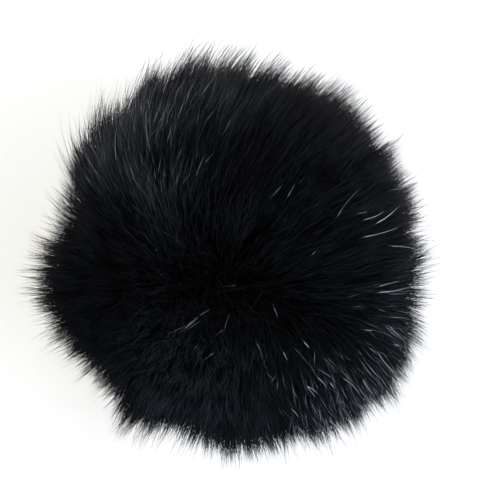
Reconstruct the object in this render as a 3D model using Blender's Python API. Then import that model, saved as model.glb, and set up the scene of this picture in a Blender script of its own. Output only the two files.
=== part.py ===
"""Fur pom pom: a round of long-haired black pelt drawn up into a ball, lying on its gathered side.

It is one piece. The dense underfur is a lumpy ball with a small flat where it rests, and the guard hair
stands on it in curved three-sided locks that are fused to it at their roots and apart from there on. The locks
part at a whorl just below the middle of the top, and every one is combed over towards the same side.
Metres, +Z up. The origin is the middle of the flat, so the pom pom stands on Z = 0.
"""

import math
import random

import bmesh
import bpy
from mathutils import Euler, Vector

# The ball of underfur
UNDERFUR_RADIUS = 0.0390  # level, at the widest
PRESSED = 0.0080  # how much thicker it is underneath, where the pile is pressed between ball and surface
TALL = 0.95  # the pom pom's height for its width: it is a little squat
CENTRE_HEIGHT = 0.0415  # of the ball's middle above the surface that it lies on
JITTER = 0.0026  # how far the roots stray from an even spacing
TURN = Euler((0.35, 0.55, 0.2))  # turns the even spacing, so that no pole of it shows

# The locks
TIP_RADIUS = 0.0585  # where the tips of the locks end, seen from above
TIP_UNEVEN = 0.0022  # how much longer or shorter a lock is than its neighbours
PARTING = 0.0007  # half of the gap between two locks at their roots
SWAY = 0.12  # how far a lock leans out of the common direction
SLIMMEST = 0.8  # the slimmest lock's width, for the widest one's
BARE_BELOW = -0.78  # no lock stands on the ball where it faces down more than this
SHORTENS_BELOW = -0.50  # from here down to there the locks get shorter
SHORTEST = 0.60  # a lock beside the bare underside, for one at the side
LOCK_ROWS = (  # each ring of a lock: its share of the way to the tip, and its share of the root's width
    {"along": 0.25, "wide": 0.88},
    {"along": 0.58, "wide": 0.70},
    {"along": 0.84, "wide": 0.38},
)
CURVE_STEPS = 12  # steps in which a lock's curve is worked out

# The comb: the direction that the pile is brushed in, seen from above
NAP_ANGLE = math.radians(36)
NAP_TOP = 0.08  # how strongly it leans at the top, which sets the whorl beside the middle
NAP_RIM = 0.73  # the same at the side
NAP_RIM_UNEVEN = 0.49  # how much more that is where the brush pressed most, and less across from there
BRUSHED_ANGLE = math.radians(65)  # where the brush pressed most
NAP_GROWS = 0.6  # how soon the lean grows from the top towards the side
DROOP = 0.10  # how far the hair at the side hangs down

# The outline seen from above: where it swells and where it draws in, apart from an even circle
SWELLS = (
    {"angle": 8, "stands": -0.0020, "spread": 16},
    {"angle": 110, "stands": 0.0028, "spread": 12},
    {"angle": 135, "stands": 0.0010, "spread": 10},
    {"angle": 165, "stands": -0.0040, "spread": 8},
    {"angle": 195, "stands": 0.0022, "spread": 8},
    {"angle": 222, "stands": -0.0018, "spread": 9},
    {"angle": 255, "stands": -0.0024, "spread": 7},
    {"angle": 315, "stands": 0.0030, "spread": 17},
)
SWELL_TALL = 0.45  # how far up and down from the rim a swelling reaches, as a height on a ball of radius 1

NAP = Vector((math.cos(NAP_ANGLE), math.sin(NAP_ANGLE), 0.0))
BRUSHED = Vector((math.cos(BRUSHED_ANGLE), math.sin(BRUSHED_ANGLE), 0.0))
CENTRE = Vector((0.0, 0.0, CENTRE_HEIGHT))


def clear_scene():
    for thing in list(bpy.data.objects):
        bpy.data.objects.remove(thing, do_unlink=True)


def black_fur():
    """Dyed fur: almost black, and glossy along each hair."""
    material = bpy.data.materials.new("black_fur")
    material.use_nodes = True
    shader = material.node_tree.nodes["Principled BSDF"]
    shader.inputs["Base Color"].default_value = (0.010, 0.010, 0.013, 1.0)
    shader.inputs["Roughness"].default_value = 0.55
    shader.inputs["Metallic"].default_value = 0.0
    return material


def swell(outward):
    """How far the pile stands out from an even ball in this direction, in metres."""
    angle = math.degrees(math.atan2(outward.y, outward.x))
    total = 0.0
    for row in SWELLS:
        away = (angle - row["angle"] + 180.0) % 360.0 - 180.0
        total += row["stands"] * math.exp(-0.5 * (away / row["spread"]) ** 2)
    return total * math.exp(-0.5 * (outward.z / SWELL_TALL) ** 2)


def squat(outward, radius):
    """A point of the squat ball of this radius, swellings and all."""
    point = outward * (radius + swell(outward))
    point.z *= TALL
    return CENTRE + point


def root_place(outward):
    """The underfur's surface in this direction: thicker underneath, and flat where it lies."""
    place = squat(outward, UNDERFUR_RADIUS + PRESSED * max(0.0, -outward.z) ** 2)
    place.z = max(place.z, 0.0)
    return place


def combed(outward):
    """The direction in which the tips point where the ball faces outward."""
    at_rim = NAP_RIM + NAP_RIM_UNEVEN * outward.dot(BRUSHED)
    grown = min(1.0, 1.0 - outward.z) ** NAP_GROWS
    lean = NAP_TOP + (at_rim - NAP_TOP) * grown
    level = math.hypot(outward.x, outward.y)
    return (outward + NAP * lean - Vector((0.0, 0.0, DROOP * level))).normalized()


def underfur():
    """The ball with its roots spread over it, and its underside pressed flat. Returns its bmesh."""
    pile = bmesh.new()
    bmesh.ops.create_icosphere(pile, subdivisions=3, radius=1.0)
    strays = random.Random(11)
    for vert in pile.verts:
        outward = vert.co.normalized()
        outward.rotate(TURN)
        stray = Vector([strays.uniform(-1.0, 1.0) for _ in range(3)]) * (JITTER / UNDERFUR_RADIUS)
        vert.co = root_place((outward + stray).normalized())
    bmesh.ops.recalc_face_normals(pile, faces=pile.faces[:])
    return pile


def lock_length(root, outward, tip_direction, chance):
    """How long a lock is, so that its tip ends at the pile's outline."""
    reach = (squat(outward, TIP_RADIUS) - root).length + chance.uniform(-TIP_UNEVEN, TIP_UNEVEN)
    if outward.z < SHORTENS_BELOW:
        share = (SHORTENS_BELOW - outward.z) / (SHORTENS_BELOW - BARE_BELOW)
        reach *= 1.0 + (SHORTEST - 1.0) * min(1.0, share)
    slant = 0.5 * (1.0 + tip_direction.dot(outward))
    return reach / slant


def lock_curve(root, outward, tip_direction, length):
    """Points along a lock, which leaves the ball square to it and bends over to the comb's direction."""
    points, point = [root.copy()], root.copy()
    for step in range(CURVE_STEPS):
        share = (step + 0.5) / CURVE_STEPS
        heading = (outward * (1.0 - share) + tip_direction * (0.35 + share)).normalized()
        point = point + heading * (length / CURVE_STEPS)
        points.append(point.copy())
    return points


def set_ring(verts, offsets, centre, turn, wide):
    """Puts a ring of a lock at a centre, turned to its heading, and never under the surface it lies on."""
    for vert, offset in zip(verts, offsets):
        spread = offset * wide
        spread.rotate(turn)
        vert.co = centre + spread
    lift = max(0.0, -min(vert.co.z for vert in verts))
    for vert in verts:
        vert.co.z += lift


def grow_lock(pile, face, chance):
    """Draws one face of the ball out into a lock."""
    root = face.calc_center_median()
    outward = (root - CENTRE).normalized()
    sway = Vector([chance.uniform(-SWAY, SWAY) for _ in range(3)])
    tip_direction = (combed(outward) + sway).normalized()
    length = lock_length(root, outward, tip_direction, chance)
    curve = lock_curve(root, outward, tip_direction, length)
    slim = chance.uniform(SLIMMEST, 1.0)
    offsets = [vert.co - root for vert in face.verts]
    for row in LOCK_ROWS:
        face = bmesh.ops.extrude_discrete_faces(pile, faces=[face])["faces"][0]
        place = round(row["along"] * CURVE_STEPS)
        heading = (curve[place + 1] - curve[place - 1]).normalized()
        set_ring(face.verts, offsets, curve[place], outward.rotation_difference(heading), row["wide"] * slim)
    tip = curve[-1].copy()
    tip.z = max(tip.z, 0.0)
    crown = bmesh.ops.poke(pile, faces=[face])["verts"][0]
    crown.co = tip


def fur_ball():
    """The whole pom pom as one mesh object."""
    pile = underfur()
    haired = [f for f in pile.faces if f.normal.z > BARE_BELOW]
    bmesh.ops.inset_individual(pile, faces=haired, thickness=PARTING, use_even_offset=True)
    chance = random.Random(23)
    for face in haired:
        grow_lock(pile, face, chance)
    mesh = bpy.data.meshes.new("fur_ball")
    pile.to_mesh(mesh)
    pile.free()
    mesh.materials.append(black_fur())
    mesh.shade_smooth()
    mesh.set_sharp_from_angle(angle=math.radians(60))
    return bpy.data.objects.new("fur_ball", mesh)


def build():
    clear_scene()
    pom_pom = bpy.data.collections.new("fur_pom_pom")
    bpy.context.scene.collection.children.link(pom_pom)
    pom_pom.objects.link(fur_ball())


build()
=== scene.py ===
"""Black fur pom pom, lying on a white surface and seen from straight above.

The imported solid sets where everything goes. Round it this script grows the coat: a felted ball of
underfur, a short dense wool on it, and over that many thousand glossy guard hairs, which part at a whorl
near the middle of the top and are combed over to one side in small tufts. Metres, +Z up.
"""

import math

import bpy
import numpy as np
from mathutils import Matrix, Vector, kdtree


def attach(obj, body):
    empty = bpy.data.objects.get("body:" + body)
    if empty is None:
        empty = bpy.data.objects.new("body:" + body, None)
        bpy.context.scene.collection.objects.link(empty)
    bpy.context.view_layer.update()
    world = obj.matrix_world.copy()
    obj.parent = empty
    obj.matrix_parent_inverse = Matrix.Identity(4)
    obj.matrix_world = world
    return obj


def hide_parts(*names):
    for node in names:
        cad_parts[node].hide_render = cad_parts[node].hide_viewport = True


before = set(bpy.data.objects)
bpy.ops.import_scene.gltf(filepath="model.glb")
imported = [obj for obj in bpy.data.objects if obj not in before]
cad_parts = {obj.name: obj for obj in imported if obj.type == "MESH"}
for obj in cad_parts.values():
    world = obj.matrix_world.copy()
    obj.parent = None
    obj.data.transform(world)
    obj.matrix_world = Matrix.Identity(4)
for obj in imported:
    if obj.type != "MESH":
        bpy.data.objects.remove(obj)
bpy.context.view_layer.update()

MM = 0.001
UP = np.array((0.0, 0.0, 1.0))

# The pom pom, in the sizes of its solid
BODY_RADIUS = 39.0 * MM  # of the ball of underfur, level, at the widest
PRESSED = 8.0 * MM  # how much thicker it is underneath
TALL = 0.95  # height for width
CENTRE = np.array((0.0, 0.0, 41.5 * MM))
TIP_RADIUS = 56.2 * MM  # where most guard hairs end, seen from above

# The matted underfur, a ball that closes the coat to the eye
MATTED_PROUD = 1.0 * MM  # how far it stands out past the roots of the hair
MATTED_WIDE = 1.13  # how much further out the wool is matted at the side than on top
MATTED_LUMPS = 7.0 * MM  # how wide its lumps are
MATTED_LUMPS_DEEP = 3.0 * MM
MATTED_LUMPS_LEVEL = 0.6  # the value of their pattern at which the ball stays as it is
MATTED_SUBDIVISIONS = 6

# The comb. The hair parts at a whorl, falls away from it on all sides, and is brushed over to one side
WHORL_LEVEL = np.array((-0.050, -0.165, 0.0))  # where it is on a ball of radius 1, seen from above
WHORL_PLACE = (-2.8 * MM, -9.3 * MM, 94.0 * MM)  # where that is on the coat
WHORL_WIDE = 0.24  # how far from the whorl the hair has nearly fallen over, in radians
WHORL_NUDGE = 1e-9  # gives the hair in the very middle of the whorl a way to fall

# Round the whorl, in degrees seen from above: which way the brush went there, how hard, how flat the hair
# lies, how far it rises on end again, and how messily
COMB = (
    {"at": 0, "way": 80, "lean": 0.50, "flat": 0.90, "rise": 0.10, "messy": 1.2},
    {"at": 35, "way": 70, "lean": 0.70, "flat": 1.10, "rise": 0.00, "messy": 1.2},
    {"at": 70, "way": 38, "lean": 1.00, "flat": 1.10, "rise": 0.00, "messy": 1.4},
    {"at": 105, "way": 30, "lean": 1.30, "flat": 1.00, "rise": 0.00, "messy": 1.7},
    {"at": 145, "way": 45, "lean": 1.00, "flat": 0.90, "rise": 0.10, "messy": 2.3},
    {"at": 170, "way": 60, "lean": 0.55, "flat": 0.40, "rise": 0.50, "messy": 2.3},
    {"at": 190, "way": 250, "lean": 0.20, "flat": 0.10, "rise": 0.80, "messy": 2.8},
    {"at": 225, "way": 270, "lean": 0.25, "flat": 0.05, "rise": 0.90, "messy": 2.8},
    {"at": 270, "way": 275, "lean": 0.30, "flat": 0.10, "rise": 0.70, "messy": 2.6},
    {"at": 305, "way": 272, "lean": 0.80, "flat": 0.35, "rise": 0.50, "messy": 2.2},
    {"at": 332, "way": 266, "lean": 0.95, "flat": 0.50, "rise": 0.30, "messy": 1.8},
    {"at": 346, "way": 80, "lean": 0.45, "flat": 0.80, "rise": 0.20, "messy": 1.3},
)

# The same round the side of the ball
RIM_COMB = (
    {"at": 0, "way": 32, "lean": 1.10},
    {"at": 45, "way": 32, "lean": 1.70},
    {"at": 90, "way": 30, "lean": 2.00},
    {"at": 120, "way": 34, "lean": 1.80},
    {"at": 136, "way": 38, "lean": 1.80},
    {"at": 152, "way": 45, "lean": 1.30},
    {"at": 175, "way": 120, "lean": 0.40},
    {"at": 200, "way": 200, "lean": 0.20},
    {"at": 240, "way": 235, "lean": 0.30},
    {"at": 262, "way": 230, "lean": 0.25},
    {"at": 280, "way": 320, "lean": 0.35},
    {"at": 310, "way": 280, "lean": 0.55},
    {"at": 337, "way": 268, "lean": 0.95},
    {"at": 351, "way": 35, "lean": 0.80},
)
DROOP = 0.10  # how far the hair at the side hangs down

# The outline seen from above, in degrees: where it swells and where it draws in, apart from an even circle
SWELLS = (
    {"angle": -6, "stands": -3.6 * MM, "spread": 12},
    {"angle": 26, "stands": -1.2 * MM, "spread": 6},
    {"angle": 40, "stands": -1.6 * MM, "spread": 7},
    {"angle": 68, "stands": -1.2 * MM, "spread": 9},
    {"angle": 91, "stands": -2.9 * MM, "spread": 9},
    {"angle": 104, "stands": 1.0 * MM, "spread": 6},
    {"angle": 120, "stands": 0.6 * MM, "spread": 8},
    {"angle": 143, "stands": -3.0 * MM, "spread": 7},
    {"angle": 157, "stands": 2.2 * MM, "spread": 6},
    {"angle": 167, "stands": -5.2 * MM, "spread": 7},
    {"angle": 191, "stands": 4.2 * MM, "spread": 10},
    {"angle": 218, "stands": -1.5 * MM, "spread": 8},
    {"angle": 237, "stands": 3.6 * MM, "spread": 5},
    {"angle": 251, "stands": -1.8 * MM, "spread": 6},
    {"angle": 272, "stands": 1.6 * MM, "spread": 6},
    {"angle": 311, "stands": 4.6 * MM, "spread": 11},
    {"angle": 337, "stands": 4.0 * MM, "spread": 11},
)
SWELL_TALL = 0.45  # how far up and down from the rim they reach, as a height on a ball of radius 1

# Where hairs grow
SPREAD_UNEVEN = 1.3  # how far each is off its even place, for the gap between two
THIN_BELOW = -0.35  # from here down, as a height on a ball of radius 1, they stand thinner
THIN_SHARE = 0.5  # how many of them stand there
SPARE_ROOTS = 1.25  # places worked out for each hair, as some of them are left bare underneath
SPARE_PATCH_ROOTS = 30  # the same for a layer that grows in patches only

# How a hair grows
ROOT_DEEP = 1.0 * MM  # how deep its root is in the ball
ROOT_LOWEST = 0.5 * MM  # how low the lowest root may be
BENT_AT_ROOT = 0.35  # how far it is bent over already where it leaves the ball
CURVE_STEPS = 12  # steps in which its curve is worked out
RINGS_CROWD = 0.8  # below 1, as its rings lie closer together towards the tip, which shows
LEAST_SLANT = 0.6  # a hair that is bent right over is lengthened as if it leant no more than this
LENGTH_SPREAD = 0.6  # how uneven most lengths are, for a layer's own unevenness
LENGTH_LEAST = -1.6  # how far the shortest hair is off, for the same
LENGTH_MOST = 1.3  # and the longest
WIDE_UNEVEN = (0.75, 1.2)  # the finest and the coarsest hair of a layer, for its own width
TIP_BLUNT = 1e-6  # less than this is left of a hair at its tip

# Where hair is bent flat on the surface that the pom pom lies on
FLOOR_SOFT = 1.6 * MM  # how thick it lies there
FLOOR_SINK = 0.2 * MM  # how far the coat settles into that thickness
FLOOR_CLEAR = 0.15 * MM  # how high the middle of the lowest hair lies
FLOOR_GAP = 0.02 * MM  # what stays clear below it

# Hairs near each other draw together towards their tips, in wisps, and those in tufts
COAT_SEED = 7
TUFTS = 1150
TUFT_LENGTHS = (-0.13, 0.10)  # how much shorter or longer than the others a tuft is
TUFT_LEAN = 0.14  # how far a tuft leans out of the comb's direction
WISPS = 3800
WISP_LEAN = 0.15  # how far a wisp leans out of its tuft
# How much each hair is drawn, for its layer's own strength, and how late on its way, as a power of it
TUFT_PULL = {"least": 0.3, "most": 1.2, "late": 1.6}
WISP_PULL = {"least": 0.4, "most": 1.3, "late": 1.2}
MOST_DRAWN = 0.95  # of the way, so that the tips of a wisp still stay apart
DRAWN_ON_TOP = 0.22  # how strongly they are drawn together on top, for the strongest at the side

# How light a hair is, from 0 to 1
TONE_OF_WISP = 0.3  # how much of that it shares with its wisp
TONE_OWN = 0.7  # and how much is its own
PAINTED_SHADE_TAKEN = (0.2, 1.8)  # how little or how much of the painted sheen and shade where it grows a hair takes
TONE_STRIPS = 64  # upright strips in the hair's UV map, one for each step of tone
STRIP_INSIDE = (0.1, 0.9)  # how much of its width is used, so that no hair lies across two
STRIP_FOOT = 0.02  # where the root lies in it
STRIP_TALL = 0.96  # from there to the tip

# Where faded hairs lie at random, whose pale tips are also painted glints and sheen: the middle of the
# patch on a ball of radius 1, round and down from its top in degrees, how wide the patch is, and how
# thick they stand there
FADED_AND_PAINTED_GLINT_PATCHES = (
    {"round": -46, "down": 60, "spread": 0.22, "thick": 1.0},
    {"round": -54, "down": 45, "spread": 0.12, "thick": 0.5},
    {"round": -24, "down": 62, "spread": 0.13, "thick": 0.6},
    {"round": 134, "down": 50, "spread": 0.17, "thick": 1.0},
    {"round": 144, "down": 37, "spread": 0.08, "thick": 0.9},
    {"round": 152, "down": 26, "spread": 0.07, "thick": 0.5},
)

# The same for the longest hairs, which stand out past the outline
EDGE_PATCHES = (
    {"round": 96, "down": 82, "spread": 0.20, "thick": 1.0},
    {"round": 68, "down": 84, "spread": 0.18, "thick": 1.0},
    {"round": 184, "down": 86, "spread": 0.10, "thick": 1.0},
    {"round": 238, "down": 86, "spread": 0.10, "thick": 1.0},
)

# The layers of hair: how many hairs, the segments of each, the seed of their chance, how far they reach
# for most guard hair, how uneven they are, how wide in millimetres, how strongly they are drawn to their
# tuft and their wisp, how far they stray, and how deep their crimp is in millimetres
HAIR_LAYERS = (
    {"name": "wool", "hairs": 10500, "segments": 2, "seed": 31, "reach": 0.84, "uneven": 0.20, "wide": 0.36,
     "tuft": 0.15, "wisp": 0.20, "stray": 0.20, "crimp": 0.25, "finish": "wool"},
    {"name": "guard_hair_a", "hairs": 12200, "segments": 3, "seed": 41, "reach": 0.92, "uneven": 0.13,
     "wide": 0.24, "tuft": 0.25, "wisp": 0.22, "stray": 0.13, "crimp": 0.20, "finish": "guard"},
    {"name": "guard_hair_b", "hairs": 12200, "segments": 3, "seed": 42, "reach": 0.98, "uneven": 0.13,
     "wide": 0.22, "tuft": 0.40, "wisp": 0.50, "stray": 0.12, "crimp": 0.20, "finish": "guard"},
    {"name": "guard_hair_c", "hairs": 12200, "segments": 3, "seed": 43, "reach": 1.03, "uneven": 0.12,
     "wide": 0.21, "tuft": 0.54, "wisp": 0.90, "stray": 0.12, "crimp": 0.22, "finish": "guard"},
    {"name": "guard_hair_d", "hairs": 11000, "segments": 3, "seed": 46, "reach": 1.08, "uneven": 0.14,
     "wide": 0.19, "tuft": 0.52, "wisp": 0.80, "stray": 0.14, "crimp": 0.25, "finish": "guard"},
    {"name": "long_hair", "hairs": 3000, "segments": 4, "seed": 44, "reach": 1.24, "uneven": 0.12,
     "wide": 0.18, "tuft": 0.55, "wisp": 0.50, "stray": 0.16, "crimp": 0.25, "finish": "guard"},
    {"name": "edge_hair", "hairs": 640, "segments": 5, "seed": 47, "reach": 1.28, "uneven": 0.16,
     "wide": 0.20, "tuft": 0.55, "wisp": 0.55, "stray": 0.14, "crimp": 0.15, "finish": "guard",
     "patches": EDGE_PATCHES},
    # faded hairs, whose pale tips also stand as painted glints and sheen
    {"name": "faded_hair", "hairs": 440, "segments": 4, "seed": 45, "reach": 1.06, "uneven": 0.10,
     "wide": 0.28, "tuft": 0.20, "wisp": 0.10, "stray": 0.15, "crimp": 0.22, "finish": "pale",
     "patches": FADED_AND_PAINTED_GLINT_PATCHES},
)

# Where the coat is painted lighter as sheen or darker as shade than elsewhere, seen from above: its hairs get
# lighter or darker tones there
PAINTED_SHEEN_AND_SHADE = (
    {"right": -31 * MM, "up": 31 * MM, "spread": 11 * MM, "lighter": 0.60},
    {"right": -9 * MM, "up": 50 * MM, "spread": 7 * MM, "lighter": 0.30},
    {"right": 2 * MM, "up": 42 * MM, "spread": 7 * MM, "lighter": 0.34},
    {"right": -26 * MM, "up": 20 * MM, "spread": 5 * MM, "lighter": 0.40},
    {"right": -20 * MM, "up": 12 * MM, "spread": 5 * MM, "lighter": 0.50},
    {"right": -38 * MM, "up": 12 * MM, "spread": 7 * MM, "lighter": -0.22},
    {"right": -46 * MM, "up": -10 * MM, "spread": 13 * MM, "lighter": -0.28},
    {"right": 22 * MM, "up": 24 * MM, "spread": 13 * MM, "lighter": -0.42},
    {"right": 38 * MM, "up": 24 * MM, "spread": 10 * MM, "lighter": -0.25},
    {"right": 0 * MM, "up": -4 * MM, "spread": 12 * MM, "lighter": -0.45},
    {"right": -22 * MM, "up": -8 * MM, "spread": 5 * MM, "lighter": 0.20},
    {"right": -18 * MM, "up": -20 * MM, "spread": 8 * MM, "lighter": 0.25},
    {"right": -28 * MM, "up": -24 * MM, "spread": 8 * MM, "lighter": 0.20},
    {"right": -5 * MM, "up": -34 * MM, "spread": 11 * MM, "lighter": 0.46},
    {"right": -20 * MM, "up": -38 * MM, "spread": 8 * MM, "lighter": 0.30},
    {"right": 28 * MM, "up": -30 * MM, "spread": 13 * MM, "lighter": -0.18},
    {"right": 42 * MM, "up": -14 * MM, "spread": 10 * MM, "lighter": 0.25},
)
PAINTED_SHADE_SETS_IN = 3.0  # how soon the painted sheen and shade set in, from the ball's widest height upwards

# How a hair of the next table grows: up out of the coat, and then just off it for the stretch that shows
FADED_SEGMENTS = 6
FADED_HIDDEN = 2  # how many of its segments come up out of the coat
FADED_ROOT = 2.5 * MM  # how far these reach back behind the stretch that shows
FADED_DEPTH = 2.5 * MM  # how deep its root is in the coat
FADED_RISE = 1.5  # above 1, as it comes up steeply and then bends over
FADED_PROUD = 0.8 * MM  # how far it lies off the coat
FADED_FALL = 0.30  # how steeply it falls at most, so that it stands off where the coat falls away
FADED_SEED = 61
SIGHT_ROUNDS = 4  # rounds in which the place where the camera sees it on the coat is worked out

# Faded guard hairs that show one by one, some of them bright strokes laid as painted glints, seen from above,
# in millimetres from the middle of the pom pom: where they come out and end, how far they bow sideways,
# how wide they are, and how light
FADED_HAIRS_AND_PAINTED_GLINTS = (
    {"from": (29.8, 12.7), "to": (36.7, 20.9), "bow": 0.5, "wide": 0.24, "tone": 0.15},
    {"from": (11.2, 18.8), "to": (13.7, 21.4), "bow": 0.0, "wide": 0.34, "tone": 0.25},
    {"from": (15.3, 18.2), "to": (17.3, 21.9), "bow": 0.0, "wide": 0.34, "tone": 0.25},
    {"from": (37.6, 11.4), "to": (43.6, 14.1), "bow": -0.4, "wide": 0.30, "tone": 0.80},
    {"from": (41.1, 10.4), "to": (47.9, 15.8), "bow": -0.4, "wide": 0.35, "tone": 0.95},
    {"from": (37.6, 6.4), "to": (47.4, 9.2), "bow": -0.3, "wide": 0.36, "tone": 0.95},
    {"from": (36.0, 13.2), "to": (38.3, 13.7), "bow": 0.0, "wide": 0.32, "tone": 0.85},
    {"from": (45.4, 3.7), "to": (53.2, 2.6), "bow": 0.3, "wide": 0.28, "tone": 0.70},
    {"from": (45.4, 20.0), "to": (53.5, 22.6), "bow": -0.4, "wide": 0.22, "tone": 0.25},
    {"from": (41.9, -7.9), "to": (47.8, -6.3), "bow": 0.0, "wide": 0.30, "tone": 0.70},
    {"from": (41.9, -9.7), "to": (50.8, -8.0), "bow": -0.4, "wide": 0.34, "tone": 0.90},
    {"from": (41.4, -27.3), "to": (47.4, -33.8), "bow": -0.5, "wide": 0.32, "tone": 0.90},
    {"from": (44.8, -19.7), "to": (49.6, -24.5), "bow": 0.0, "wide": 0.28, "tone": 0.75},
    {"from": (31.5, -34.8), "to": (36.3, -39.6), "bow": 0.5, "wide": 0.32, "tone": 0.85},
    {"from": (20.8, -36.9), "to": (23.2, -40.2), "bow": 0.0, "wide": 0.30, "tone": 0.80},
    {"from": (27.4, -46.1), "to": (29.9, -50.4), "bow": 0.0, "wide": 0.30, "tone": 0.75},
    {"from": (11.3, -14.4), "to": (12.3, -17.0), "bow": 0.0, "wide": 0.28, "tone": 0.50},
    {"from": (14.0, -27.2), "to": (15.1, -29.5), "bow": 0.0, "wide": 0.30, "tone": 0.80},
    {"from": (20.0, -24.2), "to": (21.5, -25.9), "bow": 0.0, "wide": 0.40, "tone": 0.80},
    {"from": (27.6, -36.1), "to": (28.9, -37.8), "bow": 0.0, "wide": 0.34, "tone": 0.90},
    {"from": (37.2, -35.1), "to": (40.2, -39.4), "bow": -0.3, "wide": 0.34, "tone": 0.90},
    {"from": (37.9, -20.6), "to": (39.8, -20.8), "bow": 0.0, "wide": 0.34, "tone": 0.80},
    {"from": (46.4, -24.9), "to": (47.7, -25.1), "bow": 0.0, "wide": 0.40, "tone": 0.90},
    {"from": (16.4, -43.7), "to": (18.4, -46.3), "bow": 0.3, "wide": 0.30, "tone": 0.70},
    {"from": (18.4, -49.0), "to": (20.4, -51.3), "bow": 0.0, "wide": 0.30, "tone": 0.70},
    {"from": (21.1, -37.1), "to": (24.0, -39.4), "bow": 0.3, "wide": 0.32, "tone": 0.80},
    {"from": (24.0, -34.5), "to": (26.7, -37.7), "bow": 0.2, "wide": 0.32, "tone": 0.85},
    {"from": (27.3, -47.0), "to": (29.6, -49.0), "bow": 0.0, "wide": 0.30, "tone": 0.75},
    {"from": (-14.4, -20.0), "to": (-11.0, -17.3), "bow": 0.0, "wide": 0.30, "tone": 0.50},
    {"from": (-13.7, -19.0), "to": (-10.4, -16.8), "bow": 0.1, "wide": 0.26, "tone": 0.35},
    {"from": (-13.2, -20.0), "to": (-9.6, -17.6), "bow": 0.0, "wide": 0.22, "tone": 0.10},
    {"from": (-17.6, -20.9), "to": (-15.2, -19.7), "bow": 0.0, "wide": 0.24, "tone": 0.10},
    {"from": (-10.0, -16.2), "to": (-7.2, -14.6), "bow": 0.1, "wide": 0.22, "tone": 0.15},
    {"from": (-3.0, -19.8), "to": (-1.4, -15.6), "bow": 0.2, "wide": 0.20, "tone": 0.05},
    {"from": (-4.3, -21.1), "to": (-3.6, -20.5), "bow": 0.0, "wide": 0.26, "tone": 0.20},
    {"from": (-7.2, -27.9), "to": (-6.2, -27.2), "bow": 0.0, "wide": 0.30, "tone": 0.30},
    {"from": (6.3, -24.6), "to": (7.9, -29.0), "bow": 0.2, "wide": 0.22, "tone": 0.40},
    # a painted glint at the whorl, laid as a short faded hair
    {"from": (-1.0, -7.8), "to": (0.2, -7.7), "bow": 0.0, "wide": 0.20, "tone": 0.08},
    {"from": (-34.6, 29.0), "to": (-34.4, 38.6), "bow": 0.4, "wide": 0.30, "tone": 0.70},
    {"from": (-24.8, 31.6), "to": (-25.8, 44.4), "bow": 0.6, "wide": 0.22, "tone": 0.45},
)

# The photograph, and the camera that looks straight down as it did
PHOTO = (480, 500)  # its width and height in pixels
PHOTO_CENTRE = (235.4, 258.9)  # the pixel where the middle of the pom pom is
PIXEL = 0.290 * MM  # how much of the pom pom one pixel shows, at its widest
CAMERA_AWAY = 0.80  # from the pom pom's widest height
SENSOR = 36.0  # how wide the camera's sensor is, in millimetres
EYE = np.array((
    (PHOTO[0] / 2 - PHOTO_CENTRE[0]) * PIXEL,
    (PHOTO_CENTRE[1] - PHOTO[1] / 2) * PIXEL,
    CENTRE[2] + CAMERA_AWAY,
))

# Soft lamps round the camera, square and this wide in metres, and a dim room
LIGHTS = (
    {"name": "window", "place": (-0.10, 0.37, 0.70), "size": 0.30, "watts": 3.0, "colour": "#eaf1ff"},
    {"name": "lamp", "place": (0.61, -0.35, 0.30), "size": 0.20, "watts": 2.6, "colour": "#d6e8ff"},
    {"name": "fill", "place": (-0.10, -0.60, 0.35), "size": 0.40, "watts": 2.0, "colour": "#c8dcff"},
)
LIT_PLACE = (0.0, 0.0, 30.0 * MM)  # where they all point
ROOM_COLOUR = "#f4f7fb"
ROOM_STRENGTH = 0.05

FLOOR_WIDE = 4.0  # of the paper that the pom pom lies on


# --- Colour and nodes ---

def linear(colour):
    """An sRGB hex colour as linear red, green, blue and alpha."""
    parts = [int(colour[i:i + 2], 16) / 255.0 for i in (1, 3, 5)]
    return [p / 12.92 if p <= 0.04045 else ((p + 0.055) / 1.055) ** 2.4 for p in parts] + [1.0]


def add(tree, kind, settings=(), **links):
    """Adds a node with its settings, and links or sets its inputs.

    An input goes by its name, with _ for a space, or by _ and its number where its name isn't its own.
    The stops of a colour ramp are a setting too, as places and colours.
    """
    node = tree.nodes.new(kind)
    for name, value in dict(settings).items():
        if name == "stops":
            set_stops(node.color_ramp.elements, value)
        else:
            setattr(node, name, value)
    for name, value in links.items():
        socket = node.inputs[int(name[1:])] if name[0] == "_" else node.inputs[name.replace("_", " ")]
        if isinstance(value, bpy.types.NodeSocket):
            tree.links.new(value, socket)
        else:
            socket.default_value = value
    return node


def set_stops(elements, stops):
    """Gives a colour ramp these places and colours."""
    while len(elements) > 1:
        elements.remove(elements[-1])
    elements[0].position = stops[0][0]
    elements[0].color = linear(stops[0][1])
    for place, colour in stops[1:]:
        elements.new(place).color = linear(colour)


def new_material(name):
    """A material, its nodes and its shader."""
    material = bpy.data.materials.new(name)
    material.use_nodes = True
    tree = material.node_tree
    return material, tree, tree.nodes["Principled BSDF"]


# --- Finishes ---

UV_NAME = "OFBake"  # on each hair its tone, from left to right, and the way from root to tip, upwards
TINT = {"data_type": "RGBA", "blend_type": "MULTIPLY"}  # inputs: 0 how far, 6 a colour, 7 what tints it
PATCH_LOW = 0.30  # between these two values of the noise, the coat changes from patch to patch
PATCH_HIGH = 0.70
PATCH_TINTS = ((PATCH_LOW, "#b8b8b8"), (PATCH_HIGH, "#ffffff"))
TWISTS_APART = 97.0  # sets the twist of each tone of hair far apart from the next in the noise
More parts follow.
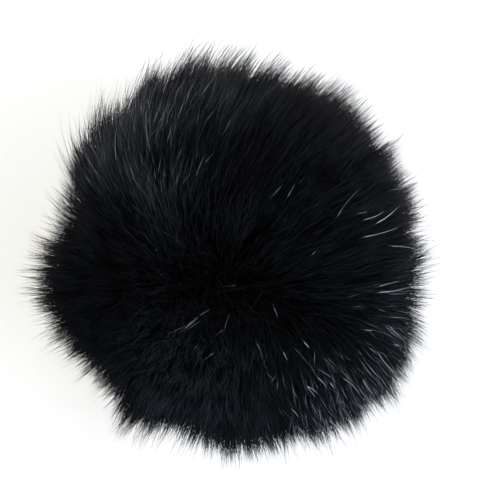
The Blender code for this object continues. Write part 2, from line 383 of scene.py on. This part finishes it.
# How far the painted glints of the twisting hairs show in their colour, from above the whorl to below it, as
# seen in the photograph
PAINTED_GLINT_SHOWS = {"above": 15.0 * MM, "below": -10.0 * MM, "least": 0.85, "most": 1.0}
TWIST_DULLS = {"above": 15.0 * MM, "below": -15.0 * MM, "least": 0.18, "most": 1.0}
TURNED_AWAY = 0.60  # how much rougher a hair is where it turns its dull side up
TURNED_UP = 0.08  # and where it turns its glossy side up
WHORL_DULL = 0.85  # how rough the hair is at the whorl, where only its blunt tips show
WHORL_DULL_TO = 7.0 * MM  # as far as this from the whorl
WHORL_GLOSSY_FROM = 24.0 * MM  # from here on it is as glossy as elsewhere
KERATIN_IOR = 1.55


def hair_material(name, tones, painted_root_shade_and_dye, rough, patch_mm, level, glint_mm, painted_glints):
    """Fur hair: keratin, a smooth dyed cylinder that shines along its length.

    Its colour goes by its own tone, and by the roots it darkens downwards: painted shade where little light
    gets in, and on faded hairs the dye below their pale tips.
    Patches of the coat, patch_mm wide as its locks are, go from the first to the second roughness. A hair
    that twists turns its glossy side up every few glint_mm: only there a painted glint gives it its full
    colour.
    """
    material, tree, shader = new_material(name)
    strand = add(tree, "ShaderNodeUVMap", {"uv_map": UV_NAME}).outputs["UV"]
    parts = add(tree, "ShaderNodeSeparateXYZ", Vector=strand)
    tone = parts.outputs["X"]
    along = parts.outputs["Y"]
    place = add(tree, "ShaderNodeTexCoord").outputs["Object"]
    patches = add(tree, "ShaderNodeTexNoise",
                  Vector=place, Scale=1.0 / (patch_mm * MM), Detail=3.0).outputs["Fac"]
    body = add(tree, "ShaderNodeValToRGB", {"stops": tones}, Fac=tone).outputs["Color"]
    # painted shade towards the root, and on faded hairs the dye below their pale tips
    depth = add(tree, "ShaderNodeValToRGB", {"stops": painted_root_shade_and_dye}, Fac=along).outputs["Color"]
    shaded = add(tree, "ShaderNodeMix", TINT, _0=1.0, _6=body, _7=depth).outputs[2]
    patched = add(tree, "ShaderNodeValToRGB", {"stops": PATCH_TINTS}, Fac=patches).outputs["Color"]
    coat = add(tree, "ShaderNodeMix", TINT, _0=1.0, _6=shaded, _7=patched).outputs[2]

    # painted glints: each hair twists, and is painted light only here and there along its length, where its
    # glossy side is up: more so below the whorl
    own = add(tree, "ShaderNodeMath", {"operation": "MULTIPLY"}, _0=tone, _1=TWISTS_APART).outputs[0]
    twist = add(tree, "ShaderNodeTexNoise", {"noise_dimensions": "4D"},
                Vector=place, W=own, Scale=1.0 / (glint_mm * MM), Detail=1.0).outputs["Fac"]
    painted_glint = add(tree, "ShaderNodeValToRGB", {"stops": painted_glints}, Fac=twist).outputs["Color"]
    up = add(tree, "ShaderNodeSeparateXYZ", Vector=place).outputs["Y"]
    painted_glint_share = add(tree, "ShaderNodeMapRange", Value=up,
                 From_Min=PAINTED_GLINT_SHOWS["above"], From_Max=PAINTED_GLINT_SHOWS["below"],
                 To_Min=PAINTED_GLINT_SHOWS["least"], To_Max=PAINTED_GLINT_SHOWS["most"]).outputs["Result"]
    painted_glinting = add(tree, "ShaderNodeMix", TINT, _0=painted_glint_share, _6=coat, _7=painted_glint).outputs[2]
    tree.links.new(painted_glinting, shader.inputs["Base Color"])
    gloss = add(tree, "ShaderNodeMapRange", Value=patches, From_Min=PATCH_LOW, From_Max=PATCH_HIGH,
                To_Min=rough[0], To_Max=rough[1]).outputs["Result"]
    dim = add(tree, "ShaderNodeMapRange", Value=twist, From_Min=painted_glints[0][0], From_Max=painted_glints[1][0],
              To_Min=TURNED_AWAY, To_Max=TURNED_UP).outputs["Result"]
    dulled = add(tree, "ShaderNodeMapRange", Value=up,
                 From_Min=TWIST_DULLS["above"], From_Max=TWIST_DULLS["below"],
                 To_Min=TWIST_DULLS["least"], To_Max=TWIST_DULLS["most"]).outputs["Result"]
    turned = add(tree, "ShaderNodeMath", {"operation": "MULTIPLY_ADD"}, _0=dim, _1=dulled, _2=gloss)

    # at the whorl the hair stands on end, and only its blunt, dull tips show
    away = add(tree, "ShaderNodeVectorMath", {"operation": "DISTANCE"}, _0=place, _1=WHORL_PLACE)
    blunt = add(tree, "ShaderNodeMapRange", Value=away.outputs["Value"],
                From_Min=WHORL_DULL_TO, From_Max=WHORL_GLOSSY_FROM, To_Min=WHORL_DULL, To_Max=0.0)
    rougher = add(tree, "ShaderNodeMath", {"operation": "MAXIMUM"},
                  _0=turned.outputs[0], _1=blunt.outputs["Result"])
    tree.links.new(rougher.outputs[0], shader.inputs["Roughness"])
    shader.inputs["IOR"].default_value = KERATIN_IOR
    shader.inputs["Specular IOR Level"].default_value = level
    return material


def guard_finish():
    """Dyed guard hair: nearly black, a few hairs faded to grey, more painted lighter as sheen or darker as
    shade, and a long gloss on all of them.
    """
    return hair_material(
        "dyed_guard_hair",
        tones=((0.0, "#03050a"), (0.45, "#0a0d14"), (0.72, "#20242b"), (0.88, "#464a52"), (1.0, "#888c92")),
        painted_root_shade_and_dye=((0.0, "#202020"), (0.5, "#808080"), (0.85, "#ffffff")),
        rough=(0.28, 0.42), patch_mm=9.0, level=0.26,
        glint_mm=1.2, painted_glints=((0.49, "#303030"), (0.61, "#ffffff")),
    )


def wool_finish():
    """Dyed wool under it: fine and crimped, so that it is matt, and black all over."""
    return hair_material(
        "dyed_underfur_wool",
        tones=((0.0, "#070708"), (1.0, "#0e0e11")),
        painted_root_shade_and_dye=((0.0, "#505050"), (1.0, "#ffffff")),
        rough=(0.62, 0.75), patch_mm=5.0, level=0.3,
        glint_mm=1.0, painted_glints=((0.40, "#808080"), (0.60, "#ffffff")),
    )


def pale_finish():
    """Hairs whose tips have lost their dye, and which also stand as painted glints: only the last quarter of
    them is pale, and painted glints along it make it sparkle.
    """
    return hair_material(
        "faded_hair_tips",
        tones=((0.0, "#606468"), (0.6, "#b8bcc0"), (0.85, "#ffffff")),
        painted_root_shade_and_dye=((0.0, "#101010"), (0.68, "#181818"), (0.80, "#ffffff")),
        rough=(0.20, 0.30), patch_mm=6.0, level=1.0,
        glint_mm=3.0, painted_glints=((0.35, "#707070"), (0.50, "#ffffff")),
    )


def bleached_finish():
    """The few hairs without dye, some laid as painted glints, which catch the light all along the stretch
    that shows, and are painted dark as shade below it.
    """
    return hair_material(
        "bleached_guard_hair",
        tones=((0.0, "#60666c"), (0.5, "#b4b8bc"), (1.0, "#f4f6f8")),
        painted_root_shade_and_dye=((0.0, "#101010"), (0.30, "#202020"), (0.38, "#ffffff")),
        rough=(0.26, 0.36), patch_mm=6.0, level=0.6,
        glint_mm=4.0, painted_glints=((0.30, "#808080"), (0.45, "#ffffff")),
    )


FELT_CLUMPS = 1.2 * MM  # how wide the clumps are that underfur mats into
FELT_TINTS = ((0.3, "#040405"), (0.7, "#0b0b0d"))
FELT_DEEP = 0.6 * MM


def felt_finish():
    """The matted foot of the wool: nearly black, clumped and without a shine."""
    material, tree, shader = new_material("matted_underfur")
    place = add(tree, "ShaderNodeTexCoord").outputs["Object"]
    clumps = add(tree, "ShaderNodeTexNoise", Vector=place, Scale=1.0 / FELT_CLUMPS, Detail=5.0).outputs["Fac"]
    tint = add(tree, "ShaderNodeValToRGB", {"stops": FELT_TINTS}, Fac=clumps).outputs["Color"]
    tree.links.new(tint, shader.inputs["Base Color"])
    bump = add(tree, "ShaderNodeBump", Height=clumps, Strength=0.8, Distance=FELT_DEEP).outputs["Normal"]
    tree.links.new(bump, shader.inputs["Normal"])
    shader.inputs["Roughness"].default_value = 0.9
    shader.inputs["Specular IOR Level"].default_value = 0.15
    return material


PAPER_FIBRES = 1.5 * MM  # drawn far coarser than real ones, which are too fine to show
PAPER_TINTS = ((0.3, "#9a9996"), (0.7, "#a4a3a0"))
PAPER_PAINTED_SHADOW_PLACE = (-53 * MM, 0.0, 0.0)  # where the painted shadow is darkest, at the left of the pom pom
PAPER_PAINTED_SHADOW_WIDE = 70.0 * MM  # how far from there it is white again
# the paper's glow: a painted warm shadow near the pom pom that fades out to white
PAPER_GLOW_AND_PAINTED_SHADOW = ((0.0, "#dfd9c6"), (0.18, "#e6e3d9"), (0.53, "#ebeae2"), (0.80, "#f2f0ec"), (1.0, "#ffffff"))
PAPER_GLOW = 0.95


def paper_finish():
    """Matt white paper that glows white, as if lit from behind, with a faint painted warm shadow at the left.
    """
    material, tree, shader = new_material("white_paper")
    place = add(tree, "ShaderNodeTexCoord").outputs["Object"]
    fibres = add(tree, "ShaderNodeTexNoise",
                 Vector=place, Scale=1.0 / PAPER_FIBRES, Detail=4.0).outputs["Fac"]
    tint = add(tree, "ShaderNodeValToRGB", {"stops": PAPER_TINTS}, Fac=fibres).outputs["Color"]
    tree.links.new(tint, shader.inputs["Base Color"])
    shader.inputs["Roughness"].default_value = 0.85
    shader.inputs["Specular IOR Level"].default_value = 0.2
    # a painted warm shadow in the paper's glow, darkest at the left of the pom pom
    away = add(tree, "ShaderNodeVectorMath", {"operation": "DISTANCE"}, _0=place, _1=PAPER_PAINTED_SHADOW_PLACE)
    share = add(tree, "ShaderNodeMapRange", Value=away.outputs["Value"],
                From_Min=0.0, From_Max=PAPER_PAINTED_SHADOW_WIDE).outputs["Result"]
    glow_and_painted_shadow = add(tree, "ShaderNodeValToRGB", {"stops": PAPER_GLOW_AND_PAINTED_SHADOW}, Fac=share).outputs["Color"]
    tree.links.new(glow_and_painted_shadow, shader.inputs["Emission Color"])
    shader.inputs["Emission Strength"].default_value = PAPER_GLOW
    return material


# --- The shape of the coat, for many directions at once ---

def unit(vectors):
    """The same directions, one unit long."""
    return vectors / np.linalg.norm(vectors, axis=-1, keepdims=True)


def level_way(degrees):
    """A level direction of one unit."""
    return np.array((math.cos(math.radians(degrees)), math.sin(math.radians(degrees)), 0.0))


def turn_about(outward, middle):
    """Where directions lie round a middle, in degrees seen from above."""
    return np.degrees(np.arctan2(outward[:, 1] - middle[1], outward[:, 0] - middle[0]))


def swell(outward):
    """How far the coat stands out from an even ball, in metres."""
    angle = np.degrees(np.arctan2(outward[:, 1], outward[:, 0]))
    total = np.zeros(len(outward))
    for row in SWELLS:
        away = (angle - row["angle"] + 180.0) % 360.0 - 180.0
        total += row["stands"] * np.exp(-0.5 * (away / row["spread"]) ** 2)
    return total * np.exp(-0.5 * (outward[:, 2] / SWELL_TALL) ** 2)


def squat(outward, radius):
    """Points of the squat ball of this radius, swellings and all."""
    return CENTRE + outward * (radius + swell(outward))[:, None] * (1.0, 1.0, TALL)


def round_whorl(outward, name):
    """A column of the comb's table, worked out between its rows."""
    column = [row[name] for row in COMB]
    return np.interp(turn_about(outward, WHORL_LEVEL), [row["at"] for row in COMB], column, period=360.0)


def brushed(turn, table):
    """Which way and how hard the coat is brushed, worked out between the rows of a table."""
    ways = np.array([level_way(row["way"]) * row["lean"] for row in table])
    at = [row["at"] for row in table]
    return np.stack([np.interp(turn, at, ways[:, axis], period=360.0) for axis in range(3)], 1)


def combed(outward):
    """Which way the tips point: off the ball, away from the whorl, and over to where they are brushed."""
    whorl = WHORL_LEVEL + UP * math.sqrt(1.0 - float(WHORL_LEVEL @ WHORL_LEVEL))
    near = outward @ whorl
    away = unit(outward * near[:, None] - whorl + WHORL_NUDGE)
    fallen = (1.0 - np.exp(-np.arccos(near.clip(-1.0, 1.0)) / WHORL_WIDE))[:, None]
    height = outward[:, 2:3].clip(0.0, 1.0)
    flat = round_whorl(outward, "flat")[:, None]
    fall = away * flat * fallen * np.sqrt(height)
    at_side = brushed(turn_about(outward, (0.0, 0.0)), RIM_COMB)
    on_top = brushed(turn_about(outward, WHORL_LEVEL), COMB)
    nap = at_side * (1.0 - height) + on_top * height
    hang = UP * DROOP * np.sqrt(1.0 - outward[:, 2:3] ** 2)
    rise = UP * round_whorl(outward, "rise")[:, None] * np.sqrt(height)
    return unit(outward - WHORL_LEVEL * (1.0 - fallen) + fall + nap * fallen + rise - hang)


def spread_directions(count, chance):
    """Directions spread evenly over the ball, each a little off its place."""
    step = np.arange(count) + 0.5
    height = 1.0 - 2.0 * step / count
    golden_turn = math.pi * (3.0 - math.sqrt(5.0))
    turn = step * golden_turn
    level = np.sqrt(1.0 - height ** 2)
    even = np.stack((level * np.cos(turn), level * np.sin(turn), height), 1)
    return unit(even + chance.normal(0.0, SPREAD_UNEVEN / math.sqrt(count), (count, 3)))


def patch_share(outward, patches):
    """How thick the hair of these patches stands in these directions, from 0 to 1."""
    share = np.zeros(len(outward))
    for row in patches:
        down = math.radians(row["down"])
        middle = level_way(row["round"]) * math.sin(down) + UP * math.cos(down)
        off = np.arccos((outward @ middle).clip(-1.0, 1.0))
        share = np.maximum(share, row["thick"] * np.exp(-0.5 * (off / row["spread"]) ** 2))
    return share


def root_directions(count, chance, patches):
    """Where the hairs of a layer grow: in patches, or evenly and thinner underneath, where it is hidden."""
    if patches:
        spread = spread_directions(count * SPARE_PATCH_ROOTS, chance)
        kept = chance.uniform(0.0, 1.0, len(spread)) < patch_share(spread, patches)
    else:
        spread = spread_directions(int(count * SPARE_ROOTS), chance)
        kept = (spread[:, 2] > THIN_BELOW) | (chance.uniform(0.0, 1.0, len(spread)) < THIN_SHARE)
    spread = spread[kept]
    return spread[chance.permutation(len(spread))[:count]]


def nearest(points, centres):
    """The number of the nearest centre for each point."""
    tree = kdtree.KDTree(len(centres))
    for i, c in enumerate(centres):
        tree.insert(c, i)
    tree.balance()
    return np.array([tree.find(p)[1] for p in points])


def hair_paths(outward, reach, stray, times):
    """Points along hairs that leave the ball square to it and bend over to the comb's direction."""
    radius = BODY_RADIUS + PRESSED * np.maximum(0.0, -outward[:, 2]) ** 2 - ROOT_DEEP
    root = squat(outward, radius)
    root[:, 2] = np.maximum(root[:, 2], ROOT_LOWEST)
    tip_way = unit(combed(outward) + stray)
    straight = np.linalg.norm(squat(outward, TIP_RADIUS) - root, axis=1)
    slant = (0.5 * (1.0 + np.sum(tip_way * outward, 1))).clip(LEAST_SLANT, 1.0)
    length = straight / slant * reach
    points = [root]
    for step in range(CURVE_STEPS):
        share = (step + 0.5) / CURVE_STEPS
        heading = unit(outward * (1.0 - share) + tip_way * (BENT_AT_ROOT + share))
        points.append(points[-1] + heading * (length / CURVE_STEPS)[:, None])
    points = np.stack(points, 1)
    place = np.asarray(times) * CURVE_STEPS
    low = np.minimum(place.astype(int), CURVE_STEPS - 1)
    part = (place - low)[None, :, None]
    return points[:, low] * (1.0 - part) + points[:, low + 1] * part


def drawn_together(paths, middles, strength, pull, times, chance):
    """The same hairs, each drawn towards the middle of its tuft or wisp, more and more towards its tip."""
    uneven = chance.uniform(pull["least"], pull["most"], (len(paths), 1))
    share = times[None, :] ** pull["late"] * uneven * strength
    return paths + (middles - paths) * share.clip(0.0, MOST_DRAWN)[:, :, None]


def laid_on_floor(paths):
    """The same hairs, but what would go through the surface below lies on it."""
    low = paths[:, :, 2]
    lifted = 0.5 * (low + np.sqrt(low ** 2 + FLOOR_SOFT ** 2)) - FLOOR_SINK
    return np.concatenate((paths[:, :, :2], np.maximum(lifted, FLOOR_CLEAR)[:, :, None]), 2)


def painted_sheen_and_shade(places):
    """How much lighter the hair is painted here than elsewhere, as sheen and shade, by the table of painted
    sheen and shade.
    """
    on_top = ((places[:, 2] - CENTRE[2]) / TIP_RADIUS).clip(0.0, 1.0)
    total = np.zeros(len(places))
    for row in PAINTED_SHEEN_AND_SHADE:
        off = np.hypot(places[:, 0] - row["right"], places[:, 1] - row["up"])
        total += row["lighter"] * np.exp(-0.5 * (off / row["spread"]) ** 2)
    return total * np.minimum(1.0, PAINTED_SHADE_SETS_IN * on_top)


# --- Making the pieces ---

def deselect_all():
    """An operator acts on all that is selected, so nothing is before a new piece is made."""
    for thing in list(bpy.context.selected_objects):
        thing.select_set(False)
    bpy.context.view_layer.objects.active = None


def model_strand(segments):
    """One hair, modelled once: a three-sided cone one unit long, cut into rings. Its vertices and faces."""
    deselect_all()
    bpy.ops.mesh.primitive_cone_add(vertices=3, radius1=1.0, radius2=0.0, depth=1.0, location=(0.0, 0.0, 0.5))
    strand = bpy.context.active_object
    bpy.ops.object.transform_apply(location=True, rotation=True, scale=True)
    bpy.ops.object.mode_set(mode="EDIT")
    for ring in range(1, segments):
        bpy.ops.mesh.select_all(action="SELECT")
        bpy.ops.mesh.bisect(plane_co=(0.0, 0.0, ring / segments), plane_no=(0.0, 0.0, 1.0))
    bpy.ops.mesh.select_all(action="SELECT")
    bpy.ops.mesh.quads_convert_to_tris()
    bpy.ops.mesh.normals_make_consistent(inside=False)
    bpy.ops.object.mode_set(mode="OBJECT")
    verts = np.array([v.co[:] for v in strand.data.vertices])
    faces = np.array([p.vertices[:] for p in strand.data.polygons])
    mesh = strand.data
    bpy.data.objects.remove(strand)
    bpy.data.meshes.remove(mesh)
    return verts, faces


def lay_strands(name, strand, paths, wide, tone, chance, material):
    """Copies of the strand, each laid along its own path, joined as one piece."""
    verts, faces = strand
    count, rings = paths.shape[:2]
    along = unit(np.gradient(paths, axis=1))
    side = unit(np.cross(along, unit(chance.normal(0.0, 1.0, (count, 1, 3)))))
    other = np.cross(along, side)
    ring_of = np.rint(verts[:, 2] * (rings - 1)).astype(int)
    # the strand's cone is made fuller, as a hair is, which tapers only near its tip
    full = 1.0 / np.sqrt(np.maximum(1.0 - verts[:, 2], TIP_BLUNT))
    across = side[:, ring_of] * (verts[:, 0] * full)[None, :, None]
    across += other[:, ring_of] * (verts[:, 1] * full)[None, :, None]
    spots = paths[:, ring_of] + 0.5 * wide[:, None, None] * across
    spots[:, :, 2] = np.maximum(spots[:, :, 2], FLOOR_GAP)
    every = faces[None] + (np.arange(count) * len(verts))[:, None, None]
    mesh = bpy.data.meshes.new(name)
    mesh.from_pydata(spots.reshape(-1, 3), [], every.reshape(-1, 3))
    mesh.shade_smooth()
    uv = strand_uv(verts, tone)[every.reshape(-1)]
    mesh.uv_layers.new(name=UV_NAME).uv.foreach_set("vector", uv.ravel())
    mesh.materials.append(material)
    hair = bpy.data.objects.new(name, mesh)
    bpy.context.scene.collection.objects.link(hair)
    return hair


def strand_uv(verts, tone):
    """Where each vertex of each strand lies in the UV map: in the strip of its tone, and along the hair."""
    column = np.floor(tone * (TONE_STRIPS - 1)) / TONE_STRIPS
    in_strip = np.linspace(*STRIP_INSIDE, len(verts)) / TONE_STRIPS
    u = column[:, None] + in_strip[None, :]
    v = np.broadcast_to(STRIP_FOOT + STRIP_TALL * verts[:, 2], u.shape)
    return np.stack((u, v), 2).reshape(-1, 2).astype(np.float32)


def grow(layer, material):
    """A whole layer of hair as one piece: copies of the strand, each laid along its own path."""
    chance = np.random.default_rng(layer["seed"])
    strand = model_strand(layer["segments"])
    times = (np.arange(layer["segments"] + 1) / layer["segments"]) ** RINGS_CROWD
    outward = root_directions(layer["hairs"], chance, layer.get("patches"))
    count = len(outward)
    tuft = nearest(outward, TUFT_WAYS)
    wisp = nearest(outward, WISP_WAYS)

    uneven = chance.normal(0.0, LENGTH_SPREAD, count).clip(LENGTH_LEAST, LENGTH_MOST)
    reach = layer["reach"] * (1.0 + layer["uneven"] * uneven) * TUFT_REACH[tuft]
    on_top = outward[:, 2].clip(0.0, 1.0)
    messy = 1.0 + (round_whorl(outward, "messy") - 1.0) * on_top
    stray = chance.normal(0.0, layer["stray"], (count, 3)) * messy[:, None]
    paths = hair_paths(outward, reach, stray + TUFT_SWAY[tuft], times)

    wisp_reach = layer["reach"] * TUFT_REACH[WISP_TUFT]
    wisp_middles = hair_paths(WISP_WAYS, wisp_reach, TUFT_SWAY[WISP_TUFT] + WISP_SWAY, times)
    tuft_middles = hair_paths(TUFT_WAYS, layer["reach"] * TUFT_REACH, TUFT_SWAY, times)
    drawn = 1.0 - (1.0 - DRAWN_ON_TOP) * on_top[:, None]
    paths = drawn_together(paths, wisp_middles[wisp], layer["wisp"] * drawn, WISP_PULL, times, chance)
    paths = drawn_together(paths, tuft_middles[tuft], layer["tuft"] * drawn, TUFT_PULL, times, chance)
    crimp = layer["crimp"] * MM * messy[:, None, None]
    paths += crimp * chance.normal(0.0, 1.0, paths.shape) * (times > 0.0)[None, :, None]
    paths = laid_on_floor(paths)

    tone = TONE_OF_WISP * WISP_TONE[wisp] + TONE_OWN * chance.uniform(0.0, 1.0, count)
    if layer["finish"] != "pale":  # the faded hairs take neither painted sheen nor painted shade: they are the same wherever they grow
        tone += painted_sheen_and_shade(paths[:, -2]) * chance.uniform(*PAINTED_SHADE_TAKEN, count)
    wide = layer["wide"] * MM * chance.uniform(*WIDE_UNEVEN, count)
    return lay_strands(layer["name"], strand, paths, wide, tone.clip(0.0, 1.0), chance, material)


def seen_at(flat, height):
    """The point this high above the ball's middle that the camera sees at this place, in metres."""
    level = EYE[:2] + (flat - EYE[:2]) * (CAMERA_AWAY - height) / CAMERA_AWAY
    return np.array((level[0], level[1], CENTRE[2] + height))


def coat_height(flat, proud):
    """How high above the ball's middle the coat is where the camera sees it at this place."""
    height = 0.0
    for _ in range(SIGHT_ROUNDS):
        seen = seen_at(flat, height)
        left = (TIP_RADIUS + proud) ** 2 - float(seen[:2] @ seen[:2])
        height = TALL * math.sqrt(max(left, 0.0))
    return height


def faded_path(row):
    """Points along one faded hair: up out of the coat, and then off it, even where the coat falls away."""
    start = np.array(row["from"]) * MM
    shown = np.array(row["to"]) * MM - start
    length = np.linalg.norm(shown)
    way = shown / length
    sideways = np.array((-way[1], way[0])) * row["bow"] * MM
    shown_segments = FADED_SEGMENTS - FADED_HIDDEN
    points = []
    for ring in range(FADED_SEGMENTS + 1):
        if ring < FADED_HIDDEN:
            sunk = 1.0 - ring / FADED_HIDDEN
            flat = start - way * FADED_ROOT * sunk
            height = coat_height(flat, FADED_PROUD - FADED_DEPTH * sunk ** FADED_RISE)
        else:
            part = (ring - FADED_HIDDEN) / shown_segments
            arch = 4.0 * part * (1.0 - part)  # nothing at both ends, and 1 in the middle
            flat = start + shown * part + sideways * arch
            fallen = points[-1][2] - CENTRE[2] - FADED_FALL * length / shown_segments
            height = max(coat_height(flat, FADED_PROUD), fallen)
        points.append(seen_at(flat, height))
    return points


def faded_hairs_and_painted_glints(material):
    """The pale guard hairs that show one by one, some of them laid as painted glints."""
    strand = model_strand(FADED_SEGMENTS)
    paths = np.array([faded_path(row) for row in FADED_HAIRS_AND_PAINTED_GLINTS])
    wide = np.array([row["wide"] * MM for row in FADED_HAIRS_AND_PAINTED_GLINTS])
    tone = np.array([row["tone"] for row in FADED_HAIRS_AND_PAINTED_GLINTS])
    chance = np.random.default_rng(FADED_SEED)
    return lay_strands("faded_guard_hair", strand, paths, wide, tone, chance, material)


def matted_body(material):
    """The ball of matted underfur, which the hair stands on and which closes it to the eye."""
    deselect_all()
    bpy.ops.mesh.primitive_ico_sphere_add(
        subdivisions=MATTED_SUBDIVISIONS, radius=BODY_RADIUS + MATTED_PROUD, location=Vector(CENTRE))
    body = bpy.context.active_object
    body.name = "matted_underfur"
    body.data.name = body.name
    bpy.ops.object.transform_apply(location=True, rotation=True, scale=True)
    bpy.ops.object.mode_set(mode="EDIT")
    bpy.ops.mesh.select_all(action="SELECT")
    bpy.ops.transform.resize(value=(MATTED_WIDE, MATTED_WIDE, TALL), center_override=Vector(CENTRE))
    bpy.ops.object.mode_set(mode="OBJECT")
    clouds = bpy.data.textures.new("underfur_lumps", "CLOUDS")
    clouds.noise_scale = MATTED_LUMPS
    lumps = body.modifiers.new("lumps", "DISPLACE")
    lumps.texture = clouds
    lumps.texture_coords = "LOCAL"
    lumps.strength = MATTED_LUMPS_DEEP
    lumps.mid_level = MATTED_LUMPS_LEVEL
    bpy.ops.object.modifier_apply(modifier="lumps")
    for vert in body.data.vertices:
        vert.co.z = max(vert.co.z, 0.0)  # pressed flat where it lies
    body.data.update()
    body.data.shade_smooth()
    body.data.materials.append(material)
    return body


def white_floor():
    """The paper that the pom pom lies on."""
    deselect_all()
    bpy.ops.mesh.primitive_grid_add(
        x_subdivisions=4, y_subdivisions=4, size=FLOOR_WIDE, location=(0.0, 0.0, 0.0))
    floor = bpy.context.active_object
    floor.name = "paper_ground"
    floor.data.name = floor.name
    floor.data.materials.append(paper_finish())


# --- Camera and light ---

def camera():
    """Looks straight down, with the pom pom where the photograph has it."""
    data = bpy.data.cameras.new("camera")
    data.sensor_width = SENSOR
    data.lens = SENSOR * CAMERA_AWAY / (PHOTO[1] * PIXEL)
    data.clip_start = 0.01
    data.clip_end = 10.0
    eye = bpy.data.objects.new("camera", data)
    bpy.context.scene.collection.objects.link(eye)
    eye.location = Vector(EYE)
    bpy.context.scene.camera = eye


def lights():
    """The lamps, all turned to the pom pom, and the room's faint light."""
    for row in LIGHTS:
        data = bpy.data.lights.new(row["name"], "AREA")
        data.shape = "SQUARE"
        data.size = row["size"]
        data.energy = row["watts"]
        data.color = linear(row["colour"])[:3]
        lamp = bpy.data.objects.new(row["name"], data)
        bpy.context.scene.collection.objects.link(lamp)
        lamp.location = row["place"]
        way = Vector(LIT_PLACE) - lamp.location
        lamp.rotation_euler = way.to_track_quat("-Z", "Y").to_euler()
    room = bpy.data.worlds.new("studio")
    bpy.context.scene.world = room
    room.use_nodes = True
    backdrop = room.node_tree.nodes["Background"]
    backdrop.inputs["Color"].default_value = linear(ROOM_COLOUR)
    backdrop.inputs["Strength"].default_value = ROOM_STRENGTH


# --- Building ---

coat_chance = np.random.default_rng(COAT_SEED)
TUFT_WAYS = spread_directions(TUFTS, coat_chance)
TUFT_REACH = 1.0 + coat_chance.uniform(*TUFT_LENGTHS, TUFTS)
TUFT_SWAY = coat_chance.normal(0.0, TUFT_LEAN, (TUFTS, 3))
WISP_WAYS = spread_directions(WISPS, coat_chance)
WISP_TUFT = nearest(WISP_WAYS, TUFT_WAYS)
WISP_SWAY = coat_chance.normal(0.0, WISP_LEAN, (WISPS, 3))
WISP_TONE = coat_chance.uniform(0.0, 1.0, WISPS)

white_floor()
camera()
lights()
bpy.context.scene.view_settings.view_transform = "Standard"

finishes = {
    "wool": wool_finish(),
    "guard": guard_finish(),
    "pale": pale_finish(),
    "bleached": bleached_finish(),
}
coat = [matted_body(felt_finish())]
for layer in HAIR_LAYERS:
    coat.append(grow(layer, finishes[layer["finish"]]))
coat.append(faded_hairs_and_painted_glints(finishes["bleached"]))
for piece in coat:
    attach(piece, "root")
    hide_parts("fur_ball")
